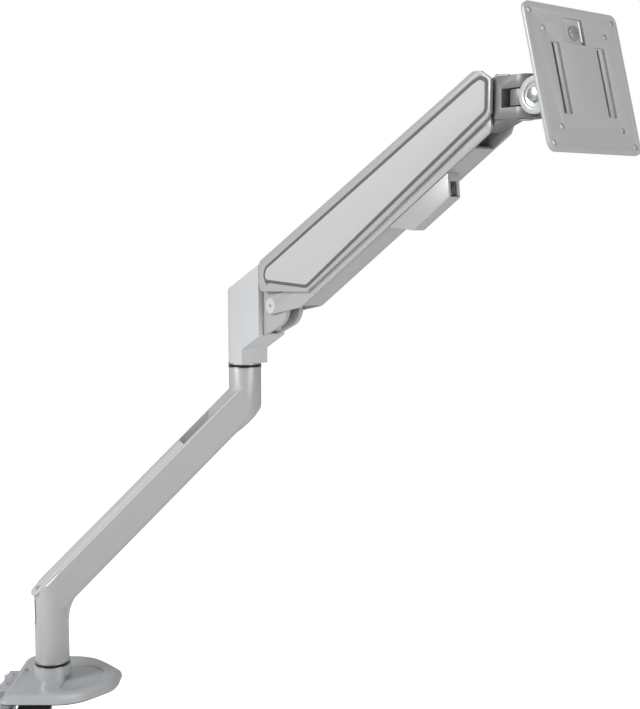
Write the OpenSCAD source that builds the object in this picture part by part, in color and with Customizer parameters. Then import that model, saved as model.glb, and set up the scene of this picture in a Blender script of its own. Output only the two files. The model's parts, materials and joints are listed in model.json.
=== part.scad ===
// Gas-spring monitor arm on a desk clamp. Millimetres, +Z up.
// Origin: the post's axis on the desk's top face. The clamped edge of the desk is on the -X side.

/* [Stance] */
// Turn of the lower arm about the post, degrees
lower_yaw = 20.4; // [0:0.1:60]
// Turn of the upper arm about the elbow, degrees
upper_yaw = -49.2; // [-80:0.1:0]
// Slope of the upper arm
lift = 31; // [24:0.5:35]
// Backward tilt of the screen plate
tilt = 15; // [0:0.5:30]

/* [Reach] */
// Post axis to elbow axis
lower_len = 205.3; // [160:1:260]
// Height from the base ring to the elbow ring
lower_rise = 293.7; // [240:1:360]
// Pivot to pivot length of the upper arm
upper_len = 318; // [250:1:390]
// Distance between the two bars of the upper arm, straight up
bar_gap = 24; // [22:0.5:28]

/* [Joint tubes] */
// Outside diameter of the sleeves and the elbow
tube_d = 34; // [32:0.5:42]
// Diameter of the steel shafts
shaft_d = 23; // [18:0.5:24]
// Wall of the nylon bushes
bush_wall = 2; // [1.5:0.1:2.5]
// Thickness of the black thrust rings
ring_t = 3; // [2:0.1:5]
// Height of the base ring's middle above the desk
ring_z = 23; // [21:0.5:30]

/* [Lower arm] */
// Width of the sloping beam
beam_w = 33; // [30:0.5:34]
// Thickness of the sloping beam
beam_t = 32.3; // [28:0.5:38]
// Width of the cable channel
channel_w = 21; // [16:0.5:22]

/* [Upper arm] */
// Width of the arm body
arm_w = 36; // [34:0.5:44]
// Wall of the arm body under its side panels
arm_wall = 1.6; // [1.2:0.1:3]
// Thickness of the side panels
panel_t = 1.8; // [1.2:0.1:2.4]
// Sheet of the lower link
link_t = 2.5; // [2:0.1:3]
// Diameter of the pivot pins
pin_d = 8; // [6:0.5:9]
// Outside diameter of the gas cylinder
gas_d = 20.4; // [18:0.2:21]

/* [Head] */
// Side of the square screen plate
plate_w = 113; // [106:1:130]
// Sheet of the screen plate
plate_t = 2.8; // [2:0.1:4]
// Diameter of the round tilt cheeks
cheek_d = 29; // [24:0.5:30]

/* [Base and clamp] */
// Thickness of the desk top in the clamp
desk_t = 25; // [12:1:45]
// Half width of the base plate
base_half = 58.5; // [50:0.5:70]
// Post axis to the straight clamp edge
base_back = 40; // [34:1:50]
// Post axis to the rounded end
base_front = 68; // [55:1:85]
// Height of the raised middle of the base plate
base_rise = 8.4; // [7.5:0.1:10]
// Width of the clamp bracket
clamp_w = 48; // [40:1:60]
// Sheet of the clamp parts
clamp_t = 3; // [2.5:0.1:4]

/* [Hidden] */
$fn = 48;
over = 0.5;
run = 0.05;
gap = 0.1;
smooth = 64;

// shared tube fits
tube_r = tube_d / 2;
shaft_r = shaft_d / 2;
bush_r = shaft_r + run;
bore_r = bush_r + bush_wall;
washer_t = 0.7;
joint_half = ring_t / 2 + washer_t + gap;
socket = 38;

// lower arm, drawn with X towards the elbow and z = 0 at the base ring
sleeve_top = 62;
elbow_drop = 42.2;
slope = atan2(lower_rise - sleeve_top - elbow_drop, lower_len);
corner_x = tube_r;
channel_deep = beam_t - 4;
cover_t = 2;
cover_w = channel_w + 3;
opening_from = lower_len - 47;

// pivots of the upper arm, from the elbow axis at the elbow ring
low_pivot = [60.7, 65.7];
up_pivot = low_pivot + [0, bar_gap];
head_low = low_pivot + upper_len * [cos(lift), sin(lift)];
head_up = head_low + [0, bar_gap];
pin_r = pin_d / 2;
arm_half = arm_w / 2;
arm_in = arm_half - panel_t - arm_wall;
link_half = arm_in - 0.7;
link_in = link_half - link_t;
lug_half = link_in - 0.6;
fork_in = 5.7;
nose_r = 22.3;
seam_x = 45.4;

// gas spring: the anchor hangs below the upper pivot, the cylinder's axis runs along the arm
anchor = up_pivot + [-2, -22];
gas_drop = 19.7;
gas_from = 52;
gas_to = min(205, upper_len - 100);
gas_r = gas_d / 2;
rod_r = 3.5;
rod_len = gas_to - 80;
screw_x = 34;

// head, from the upper head pivot, kept level
block_from = 13.4;
block_top = 10.3;
block_bottom = bar_gap - 47.2;
window = [-14.5, 0.2];
fork_half = 13;
pan_x = 34.7;
tilt_x = 21.5;
tilt_z = (window[0] + window[1]) / 2;
knuckle_h = window[1] - window[0] - 2;
knuckle_r = 12.4;
cheek_r = cheek_d / 2;
cheek_t = 4;
plate_x = 33.8;
hub_x = 23.2;
receiver_t = 2.5;
vesa_small = 75;
vesa_large = 100;
vesa_hole_r = 2.25;

// base
pad_t = 1.2;
sheet = 2.4;
collar_r = 18.6;
collar_top = ring_z - joint_half + gap;
jaw_z = -desk_t - 45;
bracket_x = -base_back - 7;
clamp_x = -base_back + 20;
clamp_r = 4;
pad_r = 17.5;
pad_top = -desk_t;

silver = "#c3c6c8";
arm_grey = "#abacab";
shell = "#d3d5d6";
panel_grey = "#cdcdd0";
dark = "#77797b";
steel = "#b4b6b8";
black = "#17181a";

// ---- plane geometry -------------------------------------------------------

function unit(v) = v / norm(v);
function left_of(v) = [-v[1], v[0]];

// a polygon, listed counter-clockwise, with every side moved inwards by d
function inset(p, d) = [for (i = [0:len(p) - 1])
    let (b = p[i],
        m = left_of(unit(b - p[(i + len(p) - 1) % len(p)])),
        n = left_of(unit(p[(i + 1) % len(p)] - b)))
    b + d * (m + n) / (1 + m * n)];

// the same polygon with corner i rounded to radius r[i]
function rounded(p, r, steps = 7) = [for (i = [0:len(p) - 1])
    let (b = p[i],
        e = unit(p[(i + len(p) - 1) % len(p)] - b),
        f = unit(p[(i + 1) % len(p)] - b),
        half = acos(e * f) / 2,
        centre = b + unit(e + f) * r[i] / sin(half),
        from = b + e * r[i] / tan(half) - centre,
        side = e[0] * f[1] - e[1] * f[0] > 0 ? -1 : 1)
    for (k = [0:steps])
        r[i] < 0.01 ? b :
        let (a = atan2(from[1], from[0]) + side * (180 - 2 * half) * k / steps)
        centre + r[i] * [cos(a), sin(a)]];

// points on an arc about c
function arc(c, r, a, b, steps = 10) = [for (k = [0:steps])
    let (t = a + (b - a) * k / steps) c + r * [cos(t), sin(t)]];

// a level-frame point, seen in a frame turned up by the lift
function along(p) = [p[0] * cos(lift) + p[1] * sin(lift), -p[0] * sin(lift) + p[1] * cos(lift)];

// ---- frames and small helpers --------------------------------------------

// a side view (x, z) given a width along Y
module slab(w) {
    rotate([90, 0, 0])
        linear_extrude(height = w, center = true)
            children();
}
// a side view between two distances from the middle plane, on both sides
module cheeks(near, far) {
    for (s = [-1, 1])
        translate([0, s * (near + far) / 2, 0])
            slab(far - near) children();
}
// a cross-section (y, z) run along X
module run_x(length) {
    rotate([90, 0, 90])
        linear_extrude(height = length)
            children();
}
// a pin along Y
module pin_y(r, from, to) {
    translate([0, from, 0])
        rotate([-90, 0, 0])
            cylinder(r = r, h = to - from, $fn = smooth);
}
module at_lower() {
    rotate([0, 0, lower_yaw])
        translate([0, 0, ring_z])
            children();
}
module at_beam() {
    translate([corner_x, 0, sleeve_top])
        rotate([0, -slope, 0])
            children();
}
module at_elbow() {
    at_lower()
        translate([lower_len, 0, lower_rise])
            rotate([0, 0, upper_yaw - lower_yaw])
                children();
}
module at_point(p) {
    translate([p[0], 0, p[1]]) children();
}
module at_arm() {
    at_elbow() at_point(up_pivot)
        rotate([0, -lift, 0]) children();
}
module at_link() {
    at_elbow() at_point(low_pivot)
        rotate([0, -lift, 0]) children();
}
module at_head() {
    at_elbow() at_point(head_up) children();
}
module at_pan() {
    at_head() translate([pan_x, 0, 0]) children();
}
module at_tilt() {
    at_pan() translate([tilt_x, 0, tilt_z])
        rotate([0, -tilt, 0]) children();
}
module tube(r_out, r_in, h) {
    difference() {
        cylinder(r = r_out, h = h, $fn = smooth);
        translate([0, 0, -over])
            cylinder(r = r_in, h = h + 2 * over, $fn = smooth);
    }
}

// ---- base ------------------------------------------------------------------

base_corners = [[-base_back, -base_half], [base_front / 2, -base_half], [base_front, -base_half / 3],
    [base_front, base_half / 3], [base_front / 2, base_half], [-base_back, base_half]];
base_radii = [8, 44, 30, 30, 44, 8];
module base_outline(d = 0) {
    polygon(rounded(inset(base_corners, d), [for (r = base_radii) max(r - d, 2)]));
}
// the pressed sheet's outer shape, or its hollow when it is drawn smaller
module base_form(d, top) {
    hull() {
        linear_extrude(height = 2.2)
            base_outline(d);
        translate([0, 0, top - 1.4])
            linear_extrude(height = 0.2)
                base_outline(d + 5.5);
        translate([0, 0, top - 0.2])
            linear_extrude(height = 0.2)
                base_outline(d + 8);
    }
}
screw_spots = [for (x = [-1, 1]) for (y = [-1, 1]) [x * 10, y * 10]];
module at_base_screws() {
    for (p = screw_spots)
        translate([p[0], p[1], 0]) children();
}
module tongue_space(grow) {
    translate([bracket_x - 1, -clamp_w / 2 - grow, -over])
        cube([-bracket_x + 24 + grow, clamp_w + 2 * grow, clamp_t + over + grow / 2]);
}

module base_pad() {
    color(black)
        difference() {
            linear_extrude(height = pad_t)
                base_outline(1);
            tongue_space(1);
        }
}

// a dished relief between the collar and the rounded end
module base_dish() {
    translate([0, 0, base_rise - 1.3])
        linear_extrude(height = 4)
            polygon(rounded([[14, -34], [34, -38], [50, -12], [50, 12], [34, 26], [14, 22]], [4, 12, 12, 12, 10, 4]));
}

module base_plate() {
    color(silver)
        difference() {
            union() {
                translate([0, 0, pad_t])
                    base_form(0, base_rise - pad_t);
                cylinder(r = collar_r, h = collar_top, $fn = smooth);
            }
            difference() {
                translate([0, 0, pad_t - over])
                    base_form(sheet, base_rise - pad_t - sheet - 1.2 + over);
                cylinder(r = collar_r, h = collar_top, $fn = smooth);
            }
            base_dish();
            translate([0, 0, -over])
                cylinder(r = shaft_r, h = collar_top + 2 * over, $fn = smooth);
            translate([0, 0, -over])
                cylinder(r = 17, h = over + 6, $fn = smooth);
            tongue_space(0.4);
            at_base_screws()
                cylinder(r = 2.5, h = collar_top - 8);
            translate([-29, 14, 0])
                cylinder(r = 2.2, h = base_rise + over);
            translate([-29, 14, base_rise - 1.2])
                cylinder(r = 3.8, h = 2);
        }
}

// post flange sits on the bracket's tongue and under the pressed plate
module post_stub() {
    color(steel)
        difference() {
            union() {
                translate([0, 0, clamp_t])
                    cylinder(r = 17, h = 6 - clamp_t, $fn = smooth);
                translate([0, 0, clamp_t])
                    cylinder(r = shaft_r, h = ring_z + socket - clamp_t, $fn = smooth);
            }
            at_base_screws()
                translate([0, 0, -over]) cylinder(r = 2.5, h = collar_top - 8 + over);
        }
}

module base_screws() {
    color(steel)
        at_base_screws() {
            translate([0, 0, 0.4])
                cylinder(r = 2.5, h = collar_top - 9);
            translate([0, 0, 0.4])
                cylinder(r = 4.4, h = 1.6);
        }
}

jaw_bolt_z = [-desk_t - 14, jaw_z - 12];
bracket_low = jaw_z - 26;
module at_jaw_bolts() {
    for (z = jaw_bolt_z)
        translate([bracket_x, 0, z])
            rotate([0, 90, 0]) children();
}

module clamp_bracket() {
    color(silver)
        difference() {
            union() {
                translate([bracket_x - clamp_t, -clamp_w / 2, 0])
                    cube([-bracket_x + clamp_t + 23, clamp_w, clamp_t]);
                translate([bracket_x - clamp_t, -clamp_w / 2, bracket_low])
                    cube([clamp_t, clamp_w, clamp_t - bracket_low]);
                for (y = [-1, 1]) {
                    translate([bracket_x - clamp_t, y * clamp_w / 4, -34])
                        cylinder(r = 3, h = 34 + clamp_t);
                    translate([bracket_x - clamp_t, y * clamp_w / 4, clamp_t])
                        rotate([0, 90, 0]) cylinder(r = 2, h = 6);
                }
            }
            at_base_screws() {
                translate([0, 0, -over]) cylinder(r = 2.5, h = clamp_t + 2 * over);
                translate([0, 0, -over]) cylinder(r = 4.4, h = 2 + over);
            }
            for (z = jaw_bolt_z)
                translate([bracket_x - clamp_t - over, 0, z])
                    rotate([0, 90, 0]) cylinder(r = 3.2, h = clamp_t + 2 * over);
            translate([bracket_x, -clamp_w, -200])
                cube([20, 2 * clamp_w, 200]);
        }
}

jaw_half = clamp_w / 2 - 3;
jaw_nose = clamp_x + 16;
module clamp_jaw() {
    color(silver)
        difference() {
            union() {
                translate([bracket_x, -jaw_half, bracket_low])
                    cube([clamp_t, 2 * jaw_half, -desk_t - 6 - bracket_low]);
                translate([0, 0, jaw_z])
                    linear_extrude(height = clamp_t)
                        polygon(rounded([[bracket_x, -jaw_half], [jaw_nose, -11], [jaw_nose, 11], [bracket_x, jaw_half]],
                            [0, 7, 7, 0]));
                for (y = [-jaw_half, jaw_half - clamp_t])
                    translate([0, y + clamp_t / 2, 0])
                        slab(clamp_t)
                            polygon([[bracket_x, jaw_z - 18], [bracket_x + 14, jaw_z], [bracket_x, jaw_z + 20]]);
                translate([clamp_x, 0, jaw_z - 6])
                    cylinder(r = 8, h = 6 + clamp_t, $fn = 6);
            }
            translate([clamp_x, 0, jaw_z - 10])
                cylinder(r = clamp_r + run, h = 20, $fn = smooth);
            for (z = jaw_bolt_z)
                translate([bracket_x - over, 0, z])
                    rotate([0, 90, 0]) cylinder(r = 3.2, h = clamp_t + 2 * over);
        }
}

module jaw_bolts() {
    color(steel)
        at_jaw_bolts() {
            translate([0, 0, -clamp_t])
                cylinder(r = 3.1, h = 2 * clamp_t + 6);
            difference() {
                translate([0, 0, -clamp_t - 3.2])
                    cylinder(r = 5.6, h = 3.2);
                translate([0, 0, -clamp_t - 3.2 - over])
                    cylinder(r = 2.4, h = 2.2 + over, $fn = 6);
            }
        }
}

module jaw_nuts() {
    color(steel)
        at_jaw_bolts()
            translate([0, 0, clamp_t])
                difference() {
                    cylinder(r = 5.8, h = 5, $fn = 6);
                    translate([0, 0, -over])
                        cylinder(r = 3.15, h = 5 + 2 * over);
                }
}

screw_low = jaw_z - 46;
module clamp_screw() {
    color(steel)
        translate([clamp_x, 0, 0])
            difference() {
                union() {
                    translate([0, 0, screw_low])
                        cylinder(r = clamp_r, h = pad_top - 6 - screw_low, $fn = smooth);
                    translate([0, 0, pad_top - 6])
                        cylinder(r = 2.95, h = 2.4, $fn = smooth);
                }
                translate([0, 0, screw_low + 7])
                    pin_y(1.5, -20, 20);
            }
}

module clamp_knob() {
    color(black)
        translate([clamp_x, 0, screw_low - 3])
            difference() {
                union() {
                    cylinder(r = 13, h = 16, $fn = smooth);
                    for (a = [0:60:300])
                        rotate([0, 0, a]) translate([12, 0, 0]) cylinder(r = 5, h = 16);
                }
                translate([0, 0, 3])
                    cylinder(r = clamp_r, h = 20, $fn = smooth);
                translate([0, 0, 10])
                    pin_y(1.5, -30, 30);
            }
}

module clamp_handle_pin() {
    color(steel)
        translate([clamp_x, 0, screw_low + 7])
            pin_y(1.5, -11, 11);
}

module clamp_pad() {
    color(silver)
        translate([clamp_x, 0, pad_top - 6.8])
            difference() {
                union() {
                    cylinder(r = 7, h = 3, $fn = smooth);
                    translate([0, 0, 2.6]) cylinder(r = pad_r, h = 2.4, $fn = smooth);
                }
                translate([0, 0, -over])
                    cylinder(r = clamp_r + 0.3, h = over + 0.9, $fn = smooth);
                translate([0, 0, -over])
                    cylinder(r = 3, h = over + 3.4, $fn = smooth);
            }
}

module clamp_pad_rubber() {
    color(black)
        translate([clamp_x, 0, pad_top - 1.8])
            cylinder(r = pad_r - 1, h = 1.8, $fn = smooth);
}

// ---- post joint -------------------------------------------------------------

module thrust_ring() {
    color(black)
        translate([0, 0, -ring_t / 2]) tube(tube_r, shaft_r, ring_t);
}
// one bright washer on either side of a ring
module ring_washers() {
    color(steel)
        for (z = [-ring_t / 2 - washer_t, ring_t / 2])
            translate([0, 0, z]) tube(tube_r + 0.6, shaft_r, washer_t);
}
// two flanged bushes at the ends of a socket that opens at z = 0 and runs up
module socket_bushes() {
    color(black)
        for (z = [0, socket - 14])
            translate([0, 0, z]) tube(bore_r, bush_r, 12);
}

module base_ring() {
    at_lower() thrust_ring();
}
module base_ring_washers() {
    at_lower() ring_washers();
}
module base_bushes() {
    at_lower() translate([0, 0, joint_half]) socket_bushes();
}

// ---- lower arm ----------------------------------------------------------------

lower_top = lower_rise - joint_half;
end_x = lower_len + tube_r;
beam_far = (lower_len + 2 * tube_r) / cos(slope);
slope_rise = tan(slope);
top_offset = beam_t / cos(slope);
function beam_bottom(x) = sleeve_top + (x - corner_x) * slope_rise;
crook_r = 36;
bite = 0.8;
crook_centre = [corner_x + crook_r - bite, sleeve_top - crook_r * tan((90 - slope) / 2) + bite / 3];
heel_r = 12;
heel_centre = [end_x - heel_r, beam_bottom(end_x) + heel_r * tan(45 - slope / 2)];
module beam_section(w, t, top_r, bottom_r) {
    polygon(rounded([[-w / 2, -t], [w / 2, -t], [w / 2, 0], [-w / 2, 0]], [bottom_r, bottom_r, top_r, top_r]));
}
module beam_bar(w, deep, top_r, bottom_r, from = -40, sunk = 0) {
    at_beam()
        translate([from, 0, beam_t - sunk])
            run_x(beam_far + 40) beam_section(w, deep, top_r, bottom_r);
}
// the soft inner corner between the sleeve and the beam
module crook() {
    slab(22)
        polygon(concat(arc(crook_centre, crook_r, 180, 90 + slope),
            [[corner_x + 12, sleeve_top + 20], [0, sleeve_top + 10], [0, crook_centre[1]]]));
}
module lower_solid() {
    intersection() {
        beam_bar(beam_w, beam_t, 3, 6);
        translate([3, -tube_r, 0]) cube([lower_len - 6, tube_d, lower_rise + 20]);
    }
    intersection() {
        translate([0, 0, joint_half])
            cylinder(r = tube_r, h = lower_rise, $fn = smooth);
        beam_bar(tube_d + 1, 200, 4, 0, -80, 0.06);
    }
    crook();
    intersection() {
        translate([lower_len, 0, 0])
            cylinder(r = tube_r, h = lower_top, $fn = smooth);
        slab(tube_d + 2)
            polygon(concat([for (x = [lower_len - tube_r - 4, lower_len - 2]) [x, beam_bottom(x) + 0.06]],
                arc(heel_centre, heel_r - 0.05, slope - 90, 0),
                [[end_x + 1, heel_centre[1]], [end_x + 1, lower_top + 5], [lower_len - tube_r - 4, lower_top + 5]]));
    }
}
// the cable channel: it opens at the top, its low end turns down inside the sleeve
slot_low = socket + 6;
module channel_space() {
    intersection() {
        at_beam()
            translate([-40, 0, beam_t + over])
                run_x(beam_far + 40)
                    beam_section(channel_w, channel_deep + over, 0, 3);
        translate([-tube_r + 5, -tube_r, slot_low + 12])
            cube([lower_len - tube_r - 8, tube_d, lower_rise]);
    }
    translate([-tube_r + 6, -channel_w / 2 + 1, slot_low])
        cube([tube_r, channel_w - 2, 30]);
}
slot_w = 12;
module cable_slot() {
    translate([-tube_r - over, 0, 0])
        rotate([90, 0, 90])
            linear_extrude(height = 8)
                polygon(rounded([[-slot_w / 2, slot_low - 4], [slot_w / 2, slot_low - 4],
                    [slot_w / 2, slot_low + 24], [-slot_w / 2, slot_low + 24]], [5.5, 5.5, 2, 2]));
}
// outline of the cover, seen square to the beam's top: x along the beam
cover_from = -20;
cover_to = (opening_from - corner_x) / cos(slope);
module cover_outline(d = 0) {
    w = cover_w / 2 + d;
    polygon(rounded([[cover_from - d, -w], [cover_to + d, -w], [cover_to + d, w], [cover_from - d, w]],
        [9, 1, 1, 9]));
}

module lower_arm() {
    color(arm_grey)
        at_lower()
            difference() {
                lower_solid();
                channel_space();
                cable_slot();
                at_beam() translate([0, 0, beam_t - cover_t])
                    linear_extrude(height = cover_t + 10) cover_outline(0.15);
                translate([0, 0, -over])
                    cylinder(r = bore_r, h = joint_half + socket + over, $fn = smooth);
                translate([lower_len, 0, lower_top - socket])
                    cylinder(r = bore_r, h = socket + over, $fn = smooth);
                at_beam() translate([cover_from + 9, 0, beam_t - 12])
                    cylinder(r = 1.5, h = 12);
            }
}

module cable_cover() {
    color(shell)
        at_lower()
            at_beam()
                difference() {
                    union() {
                        translate([0, 0, beam_t - cover_t])
                            linear_extrude(height = cover_t) cover_outline();
                        for (y = [-1, 1])
                            translate([cover_from + 40, y * (channel_w / 2 - 1.2) - 0.8, beam_t - cover_t - 5])
                                cube([cover_to - cover_from - 60, 1.6, 5]);
                    }
                    translate([cover_from + 9, 0, beam_t - 12])
                        cylinder(r = 1.5, h = 20);
                    translate([cover_from + 9, 0, beam_t - 1])
                        cylinder(r = 2.8, h = 5);
                }
}

module cover_screw() {
    color(steel)
        at_lower()
            at_beam() translate([cover_from + 9, 0, 0]) {
                translate([0, 0, beam_t - 10]) cylinder(r = 1.5, h = 9.6);
                translate([0, 0, beam_t - 1]) cylinder(r = 2.8, h = 0.8);
            }
}

// ---- elbow -------------------------------------------------------------------------

module elbow_ring() {
    at_elbow() thrust_ring();
}
module elbow_ring_washers() {
    at_elbow() ring_washers();
}
module elbow_shaft() {
    color(steel)
        at_elbow()
            translate([0, 0, -socket]) cylinder(r = shaft_r, h = socket + 30, $fn = smooth);
}
module elbow_bushes() {
    at_elbow() translate([0, 0, -joint_half]) mirror([0, 0, 1]) socket_bushes();
}

// ---- shoulder -------------------------------------------------------------------------

roof_slope = 27.5;
roof_z = 107.1 + bar_gap - 24;
function roof(x) = roof_z - (seam_x - x) * tan(roof_slope);
module housing_plan() {
    linear_extrude(height = roof_z + 20) {
        circle(r = tube_r, $fn = smooth);
        translate([0, -tube_r]) square([seam_x, tube_d]);
    }
}
// cross-section with rounded top edges, run down the slope of the roof
module roof_bar() {
    translate([-tube_r, 0, roof(-tube_r)])
        rotate([0, -roof_slope, 0])
            translate([-60, 0, 0])
                run_x(200) beam_section(tube_d, 200, 3, 0);
}
cavity_x = 22;
cavity_top = roof(cavity_x) - 7;
module shoulder_housing() {
    color(shell)
        at_elbow()
            difference() {
                intersection() {
                    housing_plan();
                    slab(tube_d + 2)
                        polygon([[-tube_r, joint_half], [tube_r, joint_half], [tube_r, 18], [seam_x, 33.7],
                            [seam_x, roof_z], [-tube_r, roof(-tube_r)]]);
                    roof_bar();
                }
                translate([cavity_x, -lug_half - gap, 36])
                    cube([seam_x, 2 * (lug_half + gap), cavity_top - 36]);
                translate([0, 0, -over])
                    cylinder(r = shaft_r, h = 30 + over, $fn = smooth);
                translate([screw_x, 0, 36])
                    cylinder(r = 3.05, h = 100, $fn = smooth);
                translate([screw_x, 0, cavity_top + 2.2])
                    cylinder(r = 5.6, h = 100, $fn = smooth);
            }
}

// the fork's side view: inside the housing it is a block, outside it carries the two pivots
fork_edge = concat([[cavity_x, 37], [seam_x, 37], [seam_x + 0.6, 34.6]],
    arc(low_pivot, nose_r, -62, 8, 12),
    arc(up_pivot, 9.2, -15, 172, 12),
    [[seam_x, up_pivot[1] - 4], [seam_x, cavity_top - 1], [cavity_x, cavity_top - 1]]);
module shoulder_bracket() {
    color(silver)
        at_elbow()
            difference() {
                union() {
                    cheeks(fork_in, lug_half) polygon(fork_edge);
                    slab(2 * fork_in + 1) {
                        translate([cavity_x, 37]) square([5, cavity_top - 38]);
                        polygon([[cavity_x, 37], [seam_x + 10, 40], [seam_x + 10, 44], [cavity_x, 41]]);
                    }
                }
                at_point(up_pivot) pin_y(pin_r + 1.6, -30, 30);
                at_point(low_pivot) pin_y(pin_r, -30, 30);
                translate([screw_x, 0, 30])
                    cylinder(r = 3.05, h = 80, $fn = smooth);
            }
}

module upper_pivot_pin() {
    color(steel)
        at_elbow() at_point(up_pivot)
            pin_y(pin_r, -arm_in - arm_wall, arm_in + arm_wall);
}
module upper_pivot_bushes() {
    color(black)
        at_elbow() at_point(up_pivot)
            for (s = [-1, 1])
                scale([1, s, 1])
                    difference() {
                        pin_y(pin_r + 1.6, fork_in, lug_half);
                        pin_y(pin_r + run, fork_in - over, lug_half + over);
                    }
}
// stub pins with washer-like heads, pressed into the fork's cheeks
head_r = 7.4;
module lower_pivot_pins() {
    color("#e6e8e8")
        at_elbow() at_point(low_pivot)
            for (s = [0, 180])
                rotate([0, 0, s])
                    difference() {
                        union() {
                            pin_y(pin_r, fork_in + 0.2, link_half + 0.3);
                            pin_y(head_r, link_half + 0.05, link_half + 0.4);
                        }
                        pin_y(2, link_half - 3, arm_half);
                    }
}

module tension_screw() {
    color(dark)
        at_elbow()
            translate([screw_x, 0, 0])
                difference() {
                    union() {
                        translate([0, 0, 46]) cylinder(r = 3, h = cavity_top + 3 - 46, $fn = smooth);
                        translate([0, 0, cavity_top + 2.3]) cylinder(r = 5.2, h = 5, $fn = smooth);
                    }
                    translate([0, 0, cavity_top + 4])
                        cylinder(r = 2.9, h = 20, $fn = 6);
                }
}
eye_r = 7.5;
eye_half = 3;
module tension_carriage() {
    color(dark)
        at_elbow()
            difference() {
                union() {
                    translate([28.5, -fork_in + 0.3, anchor[1] - 7])
                        cube([20, 2 * fork_in - 0.6, 14]);
                    cheeks(eye_half + 0.2, fork_in - 0.3)
                        polygon(concat(arc(anchor, 5.5, -90, 90, 10), [[40, anchor[1] + 5.5], [40, anchor[1] - 5.5]]));
                }
                translate([screw_x, 0, 40])
                    cylinder(r = 3 + run, h = 60, $fn = smooth);
                at_point(anchor) pin_y(2.5, -20, 20);
                at_point(anchor) pin_y(eye_r + 0.6, -eye_half - 0.2, eye_half + 0.2);
            }
}
module spring_anchor_pin() {
    color(steel)
        at_elbow() at_point(anchor)
            pin_y(2.5, -fork_in + 0.3, fork_in - 0.3);
}

// ---- gas spring ---------------------------------------------------------------------------

module at_anchor() {
    at_elbow() at_point(anchor)
        rotate([0, -lift, 0]) children();
}
module gas_rod_eye() {
    color(dark)
        at_anchor()
            difference() {
                union() {
                    pin_y(eye_r, -eye_half, eye_half);
                    translate([5, 0, 0])
                        rotate([0, 90, 0]) cylinder(r = 4.5, h = 12);
                }
                pin_y(2.5 + run, -10, 10);
                for (s = [-1, 1])
                    translate([0, s * (eye_half + 5), 0]) cube([14, 10, 20], center = true);
                translate([10, 0, 0])
                    rotate([0, 90, 0]) cylinder(r = rod_r, h = 20);
            }
}
module gas_rod() {
    color("#dfe2e4")
        at_anchor()
            translate([10, 0, 0])
                rotate([0, 90, 0]) cylinder(r = rod_r, h = rod_len - 10, $fn = smooth);
}
module at_gas() {
    at_arm() translate([0, 0, -gas_drop]) children();
}
module gas_cylinder() {
    color(black)
        at_gas()
            difference() {
                union() {
                    translate([gas_from, 0, 0])
                        rotate([0, 90, 0]) cylinder(r = gas_r, h = gas_to - gas_from, $fn = smooth);
                    translate([gas_to - over, 0, 0])
                        rotate([0, 90, 0]) cylinder(r = 4, h = 8);
                    translate([gas_to + 8, 0, 0])
                        pin_y(6.5, -4, 4);
                }
                translate([gas_from - over, 0, 0])
                    rotate([0, 90, 0]) cylinder(r = gas_r - 1.6, h = gas_to - gas_from - 6, $fn = smooth);
                translate([gas_to + 8, 0, 0])
                    pin_y(3, -10, 10);
            }
}
// the saddle is screwed up to the arm's top wall and holds the cylinder's rear eye
roof_t = 2.6;
arm_taper = 0.021;
function arm_top(u) = 25.4 - arm_taper * u;
saddle_x = gas_to + 8;
module spring_saddle() {
    color(dark)
        at_arm()
            difference() {
                union() {
                    cheeks(4.3, 8)
                        polygon([[saddle_x - 7, -gas_drop - 7], [saddle_x + 8, -gas_drop - 7],
                            [saddle_x + 12, arm_top(saddle_x) - 4], [saddle_x - 7, arm_top(saddle_x) - 4]]);
                    slab(17)
                        polygon([[saddle_x - 12, arm_top(saddle_x) - 6], [saddle_x + 12, arm_top(saddle_x) - 6],
                            [saddle_x + 12, arm_top(saddle_x + 12) - roof_t], [saddle_x - 12, arm_top(saddle_x - 12) - roof_t]]);
                }
                translate([saddle_x, 0, -gas_drop]) pin_y(3, -20, 20);
            }
}
module saddle_pin() {
    color(steel)
        at_arm() translate([saddle_x, 0, -gas_drop]) pin_y(3, -9, 9);
}

// ---- arm body and panels --------------------------------------------------------------------

// side view of the arm body in the arm's own frame, from the upper pivot
end_shift = upper_len - 318;
function arm_end(p) = p + [end_shift, 0];
left_edge = [for (p = [[-14.2, 0], [-13.1, 17.9 + bar_gap - 24]]) along(p)];
arm_edge = concat(
    [left_edge[0]],
    [for (a = [190:12:226]) along(14.2 * [cos(a), sin(a)])],
    [[48, -37.2], [157 + end_shift / 2, -33.3], arm_end([316, -23.9]), arm_end([320.3, -21.8]),
     arm_end([330, -6]), arm_end([333.7, .5]), arm_end([328, 12]), arm_end([318, arm_top(318)]),
     [0, arm_top(0)], left_edge[1]]);
panel_edge = [[-7.5, 3.7], [49.9, -34.1], arm_end([317.9, -20.3]), arm_end([331.3, 2]), arm_end([325.4, 9]),
    arm_end([317.9, 10.2]), [4.2, 14]];
panel_radii = [7, 12, 9, 5, 4, 5, 10];
gasket_w = 2.8;
module panel_shape(d) {
    polygon(rounded(inset(panel_edge, d), [for (r = panel_radii) max(r - d, 0.5)]));
}
top_end = upper_len - 9.6;
module arm_section() {
    polygon(rounded([[-arm_half, -80], [arm_half, -80], [arm_half, 0], [-arm_half, 0]], [0, 0, 6, 6]));
}
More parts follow.
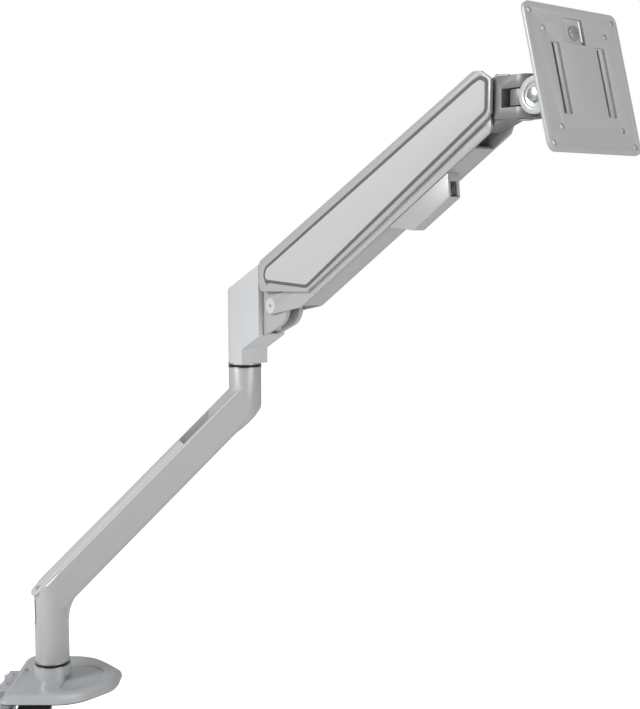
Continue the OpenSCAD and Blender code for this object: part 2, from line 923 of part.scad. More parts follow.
module arm_body() {
    color(silver)
        at_arm()
            difference() {
                intersection() {
                    slab(arm_w + 2) polygon(arm_edge);
                    translate([-30, 0, arm_top(-30)])
                        rotate([0, atan(arm_taper), 0])
                            run_x(upper_len + 80) arm_section();
                }
                difference() {
                    slab(2 * arm_in)
                        polygon([[-40, arm_top(-40) - roof_t], [-40, -60], [upper_len + 40, -60],
                            [upper_len + 40, 40], [top_end, 40], [top_end, arm_top(top_end) - roof_t]]);
                    for (x = [0, upper_len])
                        translate([x, 0, 0])
                            for (s = [0, 180])
                                rotate([0, 0, s]) pin_y(7.4, lug_half + 0.2, arm_in + over);
                }
                cheeks(arm_half - panel_t, arm_half + 2) panel_shape(0);
                for (x = [0, upper_len])
                    translate([x, 0, 0]) pin_y(pin_r, -arm_half, arm_half);
            }
}
module side_gasket(s) {
    color(dark)
        at_arm()
            translate([0, s * (arm_half - panel_t / 2), 0])
                slab(panel_t)
                    difference() {
                        panel_shape(0);
                        panel_shape(gasket_w);
                    }
}
module side_panel(s) {
    color(panel_grey)
        at_arm()
            translate([0, s * (arm_half - panel_t / 2 + 0.15), 0])
                slab(panel_t + 0.3) panel_shape(gasket_w);
}
module near_gasket() {
    side_gasket(-1);
}
module far_gasket() {
    side_gasket(1);
}
module near_panel() {
    side_panel(-1);
}
module far_panel() {
    side_panel(1);
}

// ---- lower link --------------------------------------------------------------------------------

// side view in the link's frame, from the lower pivot
function rail_bottom(u) = -24.5 + 0.0367 * u;
web_from = 42.2;
web_to = upper_len - 18;
link_outline = concat(
    arc([0, 0], 8.5, 90, 245, 10),
    [[web_from - 4, rail_bottom(web_from) + 0.6], [web_from, rail_bottom(web_from)]],
    [[upper_len + 3, rail_bottom(upper_len + 3)], [upper_len + 8, -9], [upper_len + 10, -3], [upper_len + 9.4, 3],
     [upper_len + 5, 7.4], [upper_len, 8.6], [upper_len - 8, 6.4], [upper_len - 20, 2], [26, 2], [8, 7.6]]);
module lower_link() {
    color(silver)
        at_link()
            difference() {
                union() {
                    cheeks(link_in, link_half) polygon(link_outline);
                    slab(2 * link_in + 1)
                        polygon([[web_from, rail_bottom(web_from)], [web_to, rail_bottom(web_to)],
                            [web_to, rail_bottom(web_to) + link_t], [web_from, rail_bottom(web_from) + link_t]]);
                }
                pin_y(pin_r + run, -30, 30);
                translate([upper_len, 0, 0]) pin_y(pin_r, -30, 30);
                at_clip_screws() cylinder(r = clip_screw_r, h = 20, center = true);
            }
}
clip_at = upper_len - 135.6;
clip_len = 84;
clip_half = 7;
clip_y = -5.5;
clip_wall = 2;
clip_roof = 2.4;
clip_screw_r = 1.6;
module at_clip_screws() {
    for (x = [clip_at + 27, clip_at + 68])
        translate([x, clip_y, rail_bottom(x)]) children();
}
module cable_clip() {
    top = rail_bottom(clip_at);
    end = rail_bottom(clip_at + clip_len);
    color("#b0b5b7")
        at_link()
            difference() {
                translate([0, clip_y, 0])
                    difference() {
                        slab(2 * clip_half)
                            polygon(rounded([[clip_at, top], [clip_at + 25, top - 18.1],
                                [clip_at + 75, end - 18.9], [clip_at + clip_len, end]], [0, 2, 2, 0]));
                        slab(2 * (clip_half - clip_wall))
                            polygon(rounded([[clip_at + 6, top - clip_roof], [clip_at + 26, top - 16],
                                [clip_at + 73.5, end - 16.8], [clip_at + clip_len - 3.2, end - clip_roof]], [1, 1.5, 1.5, 1]));
                        translate([clip_at - 20, 1 + clip_wall - clip_half, top - 15])
                            cube([140, 2 * (clip_half - clip_wall - 1), 12]);
                    }
                at_clip_screws() cylinder(r = clip_screw_r, h = 10, center = true);
            }
}
module clip_screws() {
    color(steel)
        at_link()
            at_clip_screws() {
                translate([0, 0, -clip_roof - 1]) cylinder(r = clip_screw_r, h = clip_roof + link_t + 2.5);
                translate([0, 0, -clip_roof - 2]) cylinder(r = 3, h = 1.8);
            }
}

// ---- head -----------------------------------------------------------------------------------------

lug_r = 8.4;
module head_bracket() {
    color(dark)
        at_head()
            difference() {
                union() {
                    slab(2 * lug_half)
                        polygon(concat(arc([0, 0], lug_r, 70, 180, 8), arc([0, -bar_gap], lug_r, 180, 300, 8),
                            [[24, block_bottom], [24, block_top], [block_from, block_top]]));
                    intersection() {
                        slab(2 * fork_half)
                            polygon(rounded([[block_from, block_bottom], [pan_x + 20, block_bottom],
                                [pan_x + 20, block_top], [block_from, block_top]], [1.5, 0, 0, 1.5], 4));
                        translate([0, 0, -60])
                            linear_extrude(height = 120) {
                                translate([block_from, -fork_half]) square([pan_x - block_from, 2 * fork_half]);
                                translate([pan_x, 0]) circle(r = fork_half, $fn = smooth);
                            }
                    }
                }
                translate([block_from + 7, -30, window[0]])
                    cube([60, 60, window[1] - window[0]]);
                pin_y(pin_r + run, -30, 30);
                translate([0, 0, -bar_gap]) pin_y(pin_r + 0.3, -30, 30);
                translate([pan_x, 0, -60])
                    cylinder(r = pin_r, h = 120, $fn = smooth);
            }
}
// the upper pin is held by the arm body, the lower one by the link's cheeks
module head_upper_pin() {
    color(steel)
        at_head() pin_y(pin_r, -arm_in - arm_wall, arm_in + arm_wall);
}
module head_lower_pin() {
    color(steel)
        at_head() translate([0, 0, -bar_gap]) pin_y(pin_r, -link_half, link_half);
}

module pan_knuckle() {
    color("#8f9294")
        at_pan()
            difference() {
                union() {
                    translate([0, 0, window[0] + 1])
                        cylinder(r = knuckle_r, h = knuckle_h, $fn = smooth);
                    translate([0, -8, tilt_z - 6])
                        cube([tilt_x, 16, 12]);
                    translate([tilt_x, 0, tilt_z])
                        pin_y(7, -fork_half, fork_half);
                }
                translate([0, 0, -40])
                    cylinder(r = pin_r + run, h = 60, $fn = smooth);
                translate([tilt_x, 0, tilt_z])
                    pin_y(3.05, -30, 30);
            }
}
module pan_pin() {
    color(steel)
        at_pan() {
            translate([0, 0, block_bottom])
                cylinder(r = pin_r, h = block_top - block_bottom, $fn = smooth);
            translate([0, 0, block_bottom - 1.2])
                cylinder(r = 6, h = 1.2);
            translate([0, 0, block_top])
                cylinder(r = 6, h = 1);
        }
}
module pan_washers() {
    color(black)
        at_pan()
            for (z = [window[0], window[1] - 0.9])
                translate([0, 0, z]) tube(9.5, pin_r, 0.9);
}

cheek_in = fork_half + 0.4;
module tilt_yoke() {
    color("#d0d5d5")
        at_tilt()
            difference() {
                union() {
                    cheeks(cheek_in, cheek_in + cheek_t) {
                        circle(r = cheek_r, $fn = smooth);
                        translate([0, -10]) square([cheek_r + 4, 20]);
                    }
                    translate([cheek_r, -cheek_in - cheek_t, -10])
                        cube([4, 2 * (cheek_in + cheek_t), 20]);
                    translate([cheek_r, 0, 0])
                        rotate([0, 90, 0]) cylinder(r = 12, h = hub_x - cheek_r - 1, $fn = smooth);
                }
                pin_y(3.05, -30, 30);
                for (s = [0, 180])
                    rotate([0, 0, s]) pin_y(9.6, cheek_in + cheek_t - 1.4, 40);
                translate([0, 0, 0])
                    rotate([0, 90, 0]) cylinder(r = 5, h = 60, $fn = smooth);
            }
}
cheek_face = cheek_in + cheek_t - 1.4;
module tilt_bolt() {
    color(steel)
        at_tilt() {
            pin_y(3, -cheek_face, cheek_face + 6);
            translate([0, -cheek_face - 3.4, 0])
                rotate([-90, 0, 0]) cylinder(r = 5.6, h = 3.4, $fn = 6);
        }
}
module tilt_nut() {
    color(steel)
        at_tilt()
            translate([0, cheek_face, 0])
                rotate([-90, 0, 0])
                    difference() {
                        cylinder(r = 5.6, h = 4, $fn = 6);
                        translate([0, 0, -over]) cylinder(r = 3, h = 5);
                    }
}
module tilt_washers() {
    color(black)
        at_tilt()
            for (s = [0, 180])
                rotate([0, 0, s])
                    translate([0, fork_half + 0.05, 0])
                        rotate([-90, 0, 0]) tube(7, 3, 0.3);
}

module rotation_pin() {
    color(steel)
        at_tilt()
            rotate([0, 90, 0]) {
                translate([0, 0, cheek_r - 3]) cylinder(r = 5, h = hub_x + receiver_t + 4 - cheek_r, $fn = smooth);
                translate([0, 0, hub_x + receiver_t + gap]) cylinder(r = 8, h = 2, $fn = smooth);
                translate([0, 0, cheek_r - 3.4]) cylinder(r = 7, h = 3.3, $fn = smooth);
            }
}
module rotation_washers() {
    color(black)
        at_tilt()
            translate([hub_x - 1, 0, 0])
                rotate([0, 90, 0]) tube(12, 5, 0.9);
}
receiver_half = 26;
receiver_up = 31;
plate_back = plate_x - plate_t / 2;
module receiver_plate() {
    color(dark)
        at_tilt()
            difference() {
                union() {
                    translate([hub_x, 0, 0])
                        run_x(receiver_t)
                            polygon(rounded([[-receiver_half, -receiver_up], [receiver_half, -receiver_up],
                                [receiver_half, receiver_up], [9, receiver_up + 13], [-9, receiver_up + 13],
                                [-receiver_half, receiver_up]], [5, 5, 5, 4, 4, 5]));
                    for (s = [-1, 1])
                        translate([hub_x, s * (receiver_half - 1.5) - 1.5, -receiver_up + 6])
                            cube([plate_back - hub_x, 3, 2 * receiver_up - 12]);
                    translate([hub_x, -8, receiver_up])
                        cube([plate_back - hub_x, 16, 12]);
                }
                rotate([0, 90, 0]) cylinder(r = 5 + run, h = 60, $fn = smooth);
                translate([0, 0, receiver_up + 6])
                    rotate([0, 90, 0]) cylinder(r = 2.5, h = 60);
            }
}
module at_plate() {
    at_tilt() translate([plate_back, 0, 0]) children();
}
module vesa_holes(pitch) {
    for (y = [-1, 1])
        for (z = [-1, 1])
            translate([-10, y * pitch / 2, z * pitch / 2])
                rotate([0, 90, 0]) cylinder(r = vesa_hole_r, h = 30);
}
slot_half = 27.5;
module vesa_plate() {
    color("#9c9d9e")
        at_plate()
            difference() {
                union() {
                    run_x(plate_t)
                        polygon(rounded([[-plate_w / 2, -plate_w / 2], [plate_w / 2, -plate_w / 2],
                            [plate_w / 2, plate_w / 2], [-plate_w / 2, plate_w / 2]], [7, 7, 7, 7]));
                    for (s = [-1, 1])
                        translate([-3.4, s * 30.5 - 2.4, -slot_half])
                            cube([3.6, 4.8, 2 * slot_half]);
                }
                vesa_holes(vesa_small);
                vesa_holes(vesa_large);
                for (s = [-1, 1]) {
                    translate([0.6, s * 27.5 - 5.5, -slot_half])
                        cube([10, 11, 2 * slot_half]);
                    translate([-10, s * 27.2 - 1.2, -slot_half])
                        cube([20, 2.4, 2 * slot_half]);
                }
                translate([0.8, -10, receiver_up - 3])
                    cube([10, 20, 20]);
                for (y = [-10.8, 8.8])
                    translate([-10, y, receiver_up - 3])
                        cube([30, 2, 20]);
                translate([-10, 0, receiver_up + 6])
                    rotate([0, 90, 0]) cylinder(r = 2.5, h = 60);
            }
}
module lock_screw() {
    color(steel)
        at_plate()
            translate([0, 0, receiver_up + 6])
                rotate([0, 90, 0])
                    difference() {
                        union() {
                            translate([0, 0, -6]) cylinder(r = 2.5, h = 7);
                            translate([0, 0, 0.8]) cylinder(r = 5.6, h = 1.8);
                        }
                        translate([-0.7, -10, 1.8]) cube([1.4, 20, 5]);
                    }
}

base_pad();
base_plate();
post_stub();
base_screws();
clamp_bracket();
clamp_jaw();
jaw_bolts();
jaw_nuts();
clamp_screw();
clamp_knob();
clamp_handle_pin();
clamp_pad();
clamp_pad_rubber();
base_ring();
base_ring_washers();
base_bushes();
lower_arm();
cable_cover();
cover_screw();
elbow_ring();
elbow_ring_washers();
elbow_shaft();
elbow_bushes();
shoulder_housing();
shoulder_bracket();
upper_pivot_pin();
upper_pivot_bushes();
lower_pivot_pins();
tension_screw();
tension_carriage();
spring_anchor_pin();
gas_rod_eye();
gas_rod();
gas_cylinder();
spring_saddle();
saddle_pin();
arm_body();
near_gasket();
far_gasket();
near_panel();
far_panel();
lower_link();
cable_clip();
clip_screws();
head_bracket();
head_upper_pin();
head_lower_pin();
pan_knuckle();
pan_pin();
pan_washers();
tilt_yoke();
tilt_bolt();
tilt_nut();
tilt_washers();
rotation_pin();
rotation_washers();
receiver_plate();
vesa_plate();
lock_screw();
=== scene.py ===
# %% [markdown]
# # Gas-spring monitor arm
# This lesson dresses a finished CAD model of a monitor arm in satin paint, plastic and steel.
# The CAD solids are loaded first, as a fixed frame in metres. Every piece made below is put
# where that frame says, rides on the body it belongs to, and stands for the CAD solids it covers.

# %% Load the frame
import json
import math

import bpy
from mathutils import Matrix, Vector

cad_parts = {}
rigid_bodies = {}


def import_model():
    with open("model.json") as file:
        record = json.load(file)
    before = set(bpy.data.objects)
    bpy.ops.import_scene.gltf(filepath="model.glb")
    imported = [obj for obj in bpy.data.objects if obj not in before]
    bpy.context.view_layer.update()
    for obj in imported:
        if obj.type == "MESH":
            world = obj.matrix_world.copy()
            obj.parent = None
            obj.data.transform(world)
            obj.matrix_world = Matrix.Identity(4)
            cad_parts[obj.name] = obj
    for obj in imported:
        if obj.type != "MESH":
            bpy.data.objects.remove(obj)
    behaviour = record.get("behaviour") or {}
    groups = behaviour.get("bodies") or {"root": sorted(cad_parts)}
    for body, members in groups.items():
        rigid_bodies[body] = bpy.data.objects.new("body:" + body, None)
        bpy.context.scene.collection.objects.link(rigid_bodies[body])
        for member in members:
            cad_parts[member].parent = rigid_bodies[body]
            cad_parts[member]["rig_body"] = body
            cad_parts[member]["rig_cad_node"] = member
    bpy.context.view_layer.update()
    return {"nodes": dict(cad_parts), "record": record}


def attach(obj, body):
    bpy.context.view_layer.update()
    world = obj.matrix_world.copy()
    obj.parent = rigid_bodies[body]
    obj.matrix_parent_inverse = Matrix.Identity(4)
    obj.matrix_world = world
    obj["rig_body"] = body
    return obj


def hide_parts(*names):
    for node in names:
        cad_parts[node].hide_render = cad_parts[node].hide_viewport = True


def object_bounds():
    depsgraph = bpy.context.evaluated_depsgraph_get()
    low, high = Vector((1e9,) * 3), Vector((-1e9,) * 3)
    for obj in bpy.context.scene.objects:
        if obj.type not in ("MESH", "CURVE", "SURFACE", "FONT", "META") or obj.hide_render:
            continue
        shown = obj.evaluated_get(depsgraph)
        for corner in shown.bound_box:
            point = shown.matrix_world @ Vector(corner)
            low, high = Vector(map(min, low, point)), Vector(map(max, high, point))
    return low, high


MM = 0.001
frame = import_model()
nodes = frame["nodes"]
body_members = frame["record"]["behaviour"]["bodies"]
body_with = {node: body for body, members in body_members.items() for node in members}
slot_with = {part["node"]: part["material_slot"] for part in frame["record"]["subparts"]}

# %% [markdown]
# An operator acts on whatever is selected, and loading the frame leaves its solids selected. One
# could deselect by hand before each step. A helper that selects given pieces and nothing else, and
# makes the first one active, is shorter and can't be forgotten.

# %% Helper for selecting
def only(*pieces):
    bpy.ops.object.select_all(action="DESELECT")
    for piece in pieces:
        piece.select_set(True)
    bpy.context.view_layer.objects.active = pieces[0]


# %% [markdown]
# A machined, stamped or cast edge is never perfectly sharp, and the thin bright line along it is
# what makes metal look real. The CAD solids come as loose triangles, which a bevel would tear
# apart, so the work starts from a copy of one: its corners are merged and its flat faces joined.

# %% Helper that copies and merges a CAD solid
MERGE_DISTANCE = 0.002 * MM
FLAT_WITHIN = math.radians(0.4)


def merged_copy(node):
    only(nodes[node])
    bpy.ops.object.duplicate()
    piece = bpy.context.active_object
    piece.parent = None
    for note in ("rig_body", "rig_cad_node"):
        del piece[note]
    piece.name = piece.data.name = node + "_piece"
    bpy.ops.object.mode_set(mode="EDIT")
    bpy.ops.mesh.select_all(action="SELECT")
    bpy.ops.mesh.customdata_custom_splitnormals_clear()
    bpy.ops.mesh.remove_doubles(threshold=MERGE_DISTANCE)
    bpy.ops.mesh.dissolve_limited(angle_limit=FLAT_WITHIN)
    bpy.ops.object.mode_set(mode="OBJECT")
    return piece


# %% [markdown]
# The rounding itself is a Bevel modifier with two segments on every edge that turns by more than
# 32 degrees, so the facets of a round pin stay as they are. The clamp that keeps bevels from
# crossing is off, because one short edge would shrink the rounding of the whole piece to nothing.

# %% Helper that rounds the edges
BEVEL_SEGMENTS = 2
BEVEL_FROM = math.radians(32)
SMOOTH_BELOW = math.radians(40)


def round_edges(piece, width):
    bevel = piece.modifiers.new("Rounded edges", "BEVEL")
    bevel.width = width * MM
    bevel.segments = BEVEL_SEGMENTS
    bevel.limit_method = "ANGLE"
    bevel.angle_limit = BEVEL_FROM
    bevel.use_clamp_overlap = False
    bevel.miter_outer = "MITER_ARC"
    only(piece)
    bpy.ops.object.modifier_apply(modifier=bevel.name)
    bpy.ops.object.shade_smooth_by_angle(angle=SMOOTH_BELOW)


# %% [markdown]
# A piece moves with the body its solid belongs to, and takes the place of that solid in the
# picture. Its material slot is the one the record names for the solid.

# %% Helper that hands a piece to its body
def finish_piece(piece, node):
    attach(piece, body_with[node])
    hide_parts(node)


# %% [markdown]
# Nearly everything here is coated, so the same three surface effects come back in many materials.
# Each is a node group: it is built once, and every material that uses it gives its own values.
# Powder paint has a fine grain that catches light, rolled or turned steel has faint drawn lines,
# and a moulded part has a soft leather-like relief. The three helpers below save typing.

# %% Node group helpers
def new_group(name, inputs, outputs):
    group = bpy.data.node_groups.new(name, "ShaderNodeTree")
    for socket, kind, value in inputs:
        made = group.interface.new_socket(name=socket, in_out="INPUT", socket_type=kind)
        if value is not None:
            made.default_value = value
    for socket, kind in outputs:
        group.interface.new_socket(name=socket, in_out="OUTPUT", socket_type=kind)
    return group, group.nodes.new("NodeGroupInput"), group.nodes.new("NodeGroupOutput")


def add_math(tree, operation, first, second):
    node = tree.nodes.new("ShaderNodeMath")
    node.operation = operation
    for socket, value in zip(node.inputs, (first, second)):
        if isinstance(value, (int, float)):
            socket.default_value = value
        else:
            tree.links.new(value, socket)
    return node.outputs[0]


def shade_colour(tree, colour, factor):
    """Multiply a colour by a grey factor that changes over the surface."""
    mix = tree.nodes.new("ShaderNodeMix")
    mix.data_type, mix.blend_type = "RGBA", "MULTIPLY"
    mix.inputs[0].default_value = 1
    tree.links.new(colour, mix.inputs[6])
    tree.links.new(factor, mix.inputs[7])
    return mix.outputs[2]


# %% [markdown]
# Paint on this arm is a sprayed silver. Close up it has grains of a few tenths of a millimetre, and
# over a hand's width the film is a little thicker here and thinner there. Two noises give both, and
# the coarse one also moves the roughness, so that reflections vary along a beam.

# %% Node group: grain of powder paint
GRAINS_PER_METRE = 2600
CLOUDS_PER_METRE = 22
CLOUD_SHARE = 0.4


def make_paint_grain():
    group, given, out = new_group(
        "Paint grain",
        [("Vector", "NodeSocketVector", None), ("Color", "NodeSocketColor", (0.7, 0.7, 0.7, 1)),
         ("Size", "NodeSocketFloat", 1.0), ("Speckle", "NodeSocketFloat", 0.06),
         ("Roughness", "NodeSocketFloat", 0.4)],
        [("Color", "NodeSocketColor"), ("Roughness", "NodeSocketFloat"), ("Height", "NodeSocketFloat")],
    )
    grain = group.nodes.new("ShaderNodeTexNoise")
    grain.inputs["Detail"].default_value = 2
    group.links.new(given.outputs["Vector"], grain.inputs["Vector"])
    fine = add_math(group, "DIVIDE", GRAINS_PER_METRE, given.outputs["Size"])
    group.links.new(fine, grain.inputs["Scale"])
    cloud = group.nodes.new("ShaderNodeTexNoise")
    cloud.inputs["Scale"].default_value = CLOUDS_PER_METRE
    cloud.inputs["Detail"].default_value = 3
    group.links.new(given.outputs["Vector"], cloud.inputs["Vector"])
    centred = add_math(group, "SUBTRACT", grain.outputs["Fac"], 0.5)
    uneven = add_math(group, "SUBTRACT", cloud.outputs["Fac"], 0.5)
    patch = add_math(group, "MULTIPLY", uneven, CLOUD_SHARE)
    both = add_math(group, "ADD", centred, patch)
    factor = add_math(group, "ADD", add_math(group, "MULTIPLY", both, given.outputs["Speckle"]), 1)
    group.links.new(shade_colour(group, given.outputs["Color"], factor), out.inputs["Color"])
    rough = add_math(group, "ADD", given.outputs["Roughness"], add_math(group, "MULTIPLY", patch, 0.25))
    group.links.new(rough, out.inputs["Roughness"])
    group.links.new(grain.outputs["Fac"], out.inputs["Height"])
    return group


# %% [markdown]
# Pins, screws and shafts are drawn or turned, which leaves fine lines. A noise that is squeezed in
# one direction and stretched in the others looks like them and costs less than real grooves.

# %% Node group: drawn lines of steel
LINE_STRETCH = (60, 60, 2400)


def make_drawn_lines():
    group, given, out = new_group(
        "Drawn lines",
        [("Vector", "NodeSocketVector", None), ("Color", "NodeSocketColor", (0.7, 0.7, 0.7, 1)),
         ("Depth", "NodeSocketFloat", 0.1), ("Roughness", "NodeSocketFloat", 0.3)],
        [("Color", "NodeSocketColor"), ("Roughness", "NodeSocketFloat"), ("Height", "NodeSocketFloat")],
    )
    stretch = group.nodes.new("ShaderNodeMapping")
    stretch.inputs["Scale"].default_value = LINE_STRETCH
    group.links.new(given.outputs["Vector"], stretch.inputs["Vector"])
    lines = group.nodes.new("ShaderNodeTexNoise")
    lines.inputs["Scale"].default_value = 1
    group.links.new(stretch.outputs["Vector"], lines.inputs["Vector"])
    centred = add_math(group, "SUBTRACT", lines.outputs["Fac"], 0.5)
    change = add_math(group, "MULTIPLY", centred, given.outputs["Depth"])
    factor = add_math(group, "ADD", change, 1)
    group.links.new(shade_colour(group, given.outputs["Color"], factor), out.inputs["Color"])
    group.links.new(add_math(group, "ADD", given.outputs["Roughness"], change), out.inputs["Roughness"])
    group.links.new(lines.outputs["Fac"], out.inputs["Height"])
    return group


# %% [markdown]
# The side panels, the knob and the rubber parts come out of moulds with a spark-eroded surface.
# Small Voronoi cells make its rounded bumps. They darken the colour slightly towards their rims.

# %% Node group: relief of moulded plastic and rubber
CELLS_PER_METRE = 1500
CELL_CONTRAST = 0.05


def make_moulded_relief():
    group, given, out = new_group(
        "Moulded relief",
        [("Vector", "NodeSocketVector", None), ("Color", "NodeSocketColor", (0.7, 0.7, 0.7, 1)),
         ("Size", "NodeSocketFloat", 1.0), ("Roughness", "NodeSocketFloat", 0.5)],
        [("Color", "NodeSocketColor"), ("Roughness", "NodeSocketFloat"), ("Height", "NodeSocketFloat")],
    )
    cells = group.nodes.new("ShaderNodeTexVoronoi")
    group.links.new(given.outputs["Vector"], cells.inputs["Vector"])
    group.links.new(add_math(group, "DIVIDE", CELLS_PER_METRE, given.outputs["Size"]), cells.inputs["Scale"])
    wave = add_math(group, "MULTIPLY", cells.outputs["Distance"], CELL_CONTRAST)
    factor = add_math(group, "SUBTRACT", 1.02, wave)
    group.links.new(shade_colour(group, given.outputs["Color"], factor), out.inputs["Color"])
    group.links.new(add_math(group, "ADD", given.outputs["Roughness"], wave), out.inputs["Roughness"])
    group.links.new(cells.outputs["Distance"], out.inputs["Height"])
    return group


# %% [markdown]
# Each group is built once. A material asks for one by a short name and gives it its own values.

# %% Effects by name
EFFECTS = {"grain": make_paint_grain(), "lines": make_drawn_lines(), "relief": make_moulded_relief()}
print("effects:", ", ".join(group.name for group in EFFECTS.values()))

# %% [markdown]
# A material is one Principled shader fed by one of those groups. The pattern is laid on Object
# coordinates, in metres, so it has the same scale on a pin and on a beam and stays on the piece
# when the arm moves.

# %% Helper that makes a material
BUMP_DEPTH = 0.05 * MM
COAT_ROUGHNESS = 0.25


def finish_material(name, effect, colour, metallic=0.0, coat=0.0, bump=0.0, **values):
    material = bpy.data.materials.new(name)
    material.use_nodes = True
    tree = material.node_tree
    shader = tree.nodes["Principled BSDF"]
    shader.inputs["Metallic"].default_value = metallic
    shader.inputs["Coat Weight"].default_value = coat
    shader.inputs["Coat Roughness"].default_value = COAT_ROUGHNESS
    coordinates = tree.nodes.new("ShaderNodeTexCoord")
    surface = tree.nodes.new("ShaderNodeGroup")
    surface.node_tree = EFFECTS[effect]
    surface.inputs["Color"].default_value = (*colour, 1)
    for socket, value in values.items():
        surface.inputs[socket].default_value = value
    tree.links.new(coordinates.outputs["Object"], surface.inputs["Vector"])
    tree.links.new(surface.outputs["Color"], shader.inputs["Base Color"])
    tree.links.new(surface.outputs["Roughness"], shader.inputs["Roughness"])
    if bump:
        relief = tree.nodes.new("ShaderNodeBump")
        relief.inputs["Strength"].default_value = bump
        relief.inputs["Distance"].default_value = BUMP_DEPTH
        tree.links.new(surface.outputs["Height"], relief.inputs["Height"])
        tree.links.new(relief.outputs["Normal"], shader.inputs["Normal"])
    return material


# %% [markdown]
# Silver paint is metal flake in a clear binder: a base that is a quarter metallic, with a thin coat,
# gives the pearly look, brighter where it faces the light and never as dark as bare metal. Chrome
# is nearly a mirror, nylon and rubber are not metallic at all, and foam hardly shines.

# %% Finishes
FINISHES = {
    "satin_silver": finish_material("Satin silver paint", "grain", (0.50, 0.515, 0.53), 0.25, 0.15, 0.3,
                                    Roughness=0.36),
    "arm_silver": finish_material("Silver paint on casting", "grain", (0.56, 0.56, 0.555), 0.25, 0.15, 0.4,
                                  Size=1.4, Roughness=0.38),
    "shell_silver": finish_material("Light silver paint", "grain", (0.70, 0.715, 0.725), 0.2, 0.15, 0.3,
                                    Roughness=0.35),
    "panel_plastic": finish_material("Light grey moulding", "relief", (0.62, 0.62, 0.63), bump=0.15,
                                     Roughness=0.5),
    # The gasket is dark grey rubber. Its colour is also kept darker to stand in for the shade in the seam
    # gap along it, so it is partly real colour and partly painted shade.
    "gasket": finish_material("Dark gasket rubber and painted seam shade", "relief", (0.14, 0.145, 0.15), bump=0.1, Roughness=0.6),
    "head_grey": finish_material("Grey satin paint", "grain", (0.25, 0.25, 0.26), 0.25, 0.1, 0.3,
                                 Roughness=0.4),
    "knuckle_light": finish_material("Pale satin paint", "grain", (0.66, 0.68, 0.68), 0.2, 0.2, 0.2,
                                     Roughness=0.32),
    "plate_paint": finish_material("Grey powder paint", "grain", (0.56, 0.56, 0.565), 0.2, 0.1, 0.5,
                                   Size=1.3, Speckle=0.1, Roughness=0.42),
    "black_nylon": finish_material("Black nylon", "relief", (0.008, 0.008, 0.009), bump=0.1, Roughness=0.35),
    "foam_pad": finish_material("Black foam rubber", "relief", (0.02, 0.02, 0.022), bump=0.6, Size=1.5,
                                Roughness=0.8),
    "knob_black": finish_material("Textured black moulding", "relief", (0.022, 0.022, 0.024), bump=0.5,
                                  Size=1.2, Roughness=0.55),
    "zinc_steel": finish_material("Zinc plated steel", "lines", (0.62, 0.63, 0.64), 1.0, Roughness=0.28),
    "white_steel": finish_material("Bright satin steel", "lines", (0.80, 0.81, 0.81), 0.3, Roughness=0.3,
                                   Depth=0.04),
    "dark_steel": finish_material("Phosphated steel", "lines", (0.12, 0.12, 0.125), 0.8, Roughness=0.42),
    "black_cylinder": finish_material("Black gloss enamel", "grain", (0.012, 0.012, 0.013), 0.0, 0.6,
                                      Speckle=0.02, Roughness=0.22),
    "chrome_rod": finish_material("Hard chrome", "lines", (0.80, 0.81, 0.83), 1.0, Depth=0.02,
                                  Roughness=0.06),
}
for node, cad_piece in nodes.items():
    cad_piece.data.materials.clear()
    cad_piece.data.materials.append(FINISHES[slot_with[node]])
print(len(FINISHES), "finishes")

# %% [markdown]
# All pieces keep the shape of their CAD solid, and only their edges are worked on. The widths, in
# millimetres, are what such parts have: a turned pin has hardly any rounding, a stamped sheet a
# little, and most castings and mouldings more. The lower arm and the base plate have short edges
# that a wide bevel would push out into spikes, so theirs is narrower.

# %% Pieces with softened edges
EDGE_WIDTHS = {
    0.15: "base_ring base_ring_washers elbow_ring elbow_ring_washers cover_screw rotation_washers "
          "tilt_washers pan_washers clip_screws lower_pivot_pins base_bushes elbow_bushes "
          "upper_pivot_bushes",
    0.25: "head_bracket clamp_handle_pin saddle_pin spring_anchor_pin upper_pivot_pin head_upper_pin "
          "head_lower_pin near_gasket far_gasket tilt_bolt tilt_nut gas_rod base_screws lock_screw",
    0.4: "clamp_pad clamp_pad_rubber clamp_screw jaw_bolts jaw_nuts tension_screw tension_carriage "
         "gas_rod_eye spring_saddle pan_knuckle pan_pin rotation_pin post_stub elbow_shaft base_pad "
         "lower_link receiver_plate clamp_jaw clamp_bracket cable_cover base_plate lower_arm vesa_plate",
    0.6: "tilt_yoke cable_clip gas_cylinder shoulder_bracket near_panel far_panel clamp_knob "
         "shoulder_housing arm_body",
}
SHARPER = {"lower_arm": 0.1, "base_plate": 0.3}
for width, names in EDGE_WIDTHS.items():
    for node in names.split():
        piece = merged_copy(node)
        round_edges(piece, SHARPER.get(node, width))
        finish_piece(piece, node)

# %% [markdown]
# ## Light, floor and camera
# The room is plain white. The floor lies at the lowest point of the arm and shows as white as the
# room, so no horizon cuts the picture. Its extra glow is for the camera only: a floor that really
# shone would light every underside.

# %% Floor
FLOOR_SIZE = 8
FLOOR_CENTRE = (0.2, 1.0)
FLOOR_GLOW = 0.8
bpy.ops.object.select_all(action="DESELECT")
floor_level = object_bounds()[0].z
bpy.ops.mesh.primitive_plane_add(size=FLOOR_SIZE, location=(*FLOOR_CENTRE, floor_level))
floor = bpy.context.active_object
floor.name = "floor"
floor_paint = bpy.data.materials.new("White sweep")
floor_paint.use_nodes = True
sweep = floor_paint.node_tree
paper = sweep.nodes["Principled BSDF"]
paper.inputs["Base Color"].default_value = (0.8, 0.8, 0.8, 1)
paper.inputs["Roughness"].default_value = 0.9
paper.inputs["Specular IOR Level"].default_value = 0
paper.inputs["Emission Color"].default_value = (1, 1, 1, 1)
glance = sweep.nodes.new("ShaderNodeLightPath")
glow = add_math(sweep, "MULTIPLY", glance.outputs["Is Camera Ray"], FLOOR_GLOW)
sweep.links.new(glow, paper.inputs["Emission Strength"])
floor.data.materials.append(floor_paint)
print(f"floor at {floor_level / MM:.0f} mm")

# %% [markdown]
# The main soft light stands high on the left, so sides that face left are bright. A weaker one on
# the right keeps the screen plate from going dark, and one behind and above draws the top edges.

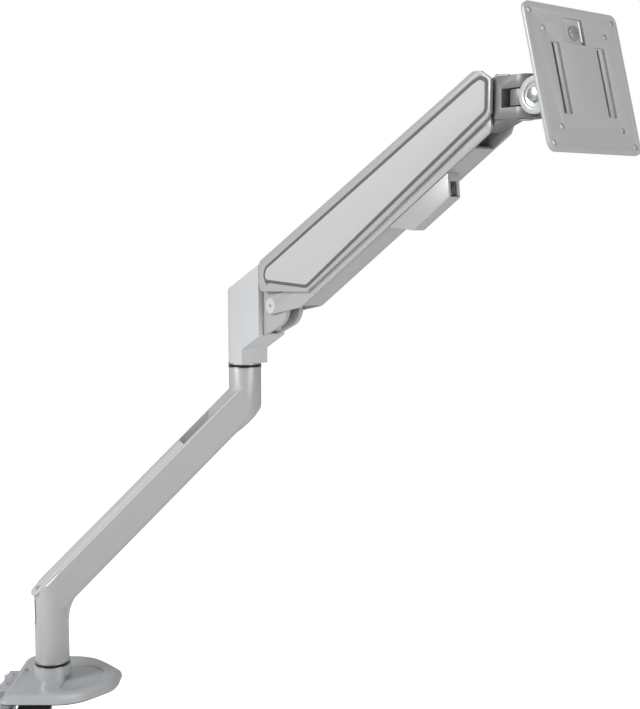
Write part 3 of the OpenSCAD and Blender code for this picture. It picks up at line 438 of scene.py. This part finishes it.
# %% Soft lights
def soft_light(name, at, aim, size, power):
    bpy.ops.object.light_add(type="AREA", location=at)
    light = bpy.context.active_object
    light.name = name
    light.data.shape = "DISK"
    light.data.size, light.data.energy = size, power
    light.rotation_euler = (Vector(aim) - Vector(at)).to_track_quat("-Z", "Y").to_euler()
    return light


MIDDLE = (0.24, -0.1, 0.33)
soft_light("key", (-1.9, -1.1, 1.5), MIDDLE, 1.2, 42)
soft_light("fill", (1.9, -1.6, 0.9), MIDDLE, 1.6, 16)
soft_light("top", (0.4, 0.5, 2.4), MIDDLE, 1.6, 10)
print("three soft lights")

# %% [markdown]
# The room's own light fills the shadows evenly. It is weaker than the white that the camera sees,
# and a Light Path node keeps the two apart: otherwise the background would be grey, or the arm
# would lose all its shading.

# %% Room light
ROOM_LIGHT = 0.34
world = bpy.data.worlds.new("White room")
bpy.context.scene.world = world
world.use_nodes = True
sky = world.node_tree
room = sky.nodes["Background"]
room.inputs["Color"].default_value = (1, 1, 1, 1)
room.inputs["Strength"].default_value = ROOM_LIGHT
backdrop = sky.nodes.new("ShaderNodeBackground")
backdrop.inputs["Strength"].default_value = 1.0
backdrop.inputs["Color"].default_value = (1, 1, 1, 1)
seen = sky.nodes.new("ShaderNodeLightPath")
choose = sky.nodes.new("ShaderNodeMixShader")
sky.links.new(seen.outputs["Is Camera Ray"], choose.inputs[0])
sky.links.new(room.outputs[0], choose.inputs[1])
sky.links.new(backdrop.outputs[0], choose.inputs[2])
sky.links.new(choose.outputs[0], sky.nodes["World Output"].inputs[0])
bpy.context.scene.view_settings.view_transform = "Standard"
print(f"room light {ROOM_LIGHT}")

# %% [markdown]
# The camera stands a little over a metre in front of the arm, near the height of its head, and looks
# slightly down. It isn't turned to either side, so upright tubes stay nearly upright.

# %% Camera
CAMERA_AT = (0.2709, -1.1512, 0.4719)
CAMERA_PITCH = math.radians(83.247)
bpy.ops.object.camera_add(location=CAMERA_AT, rotation=(CAMERA_PITCH, 0, 0))
camera = bpy.context.active_object
camera.data.lens = 59.9
camera.data.sensor_width = 36
bpy.context.scene.camera = camera
print(f"camera {-CAMERA_AT[1]:.2f} m in front of the post")
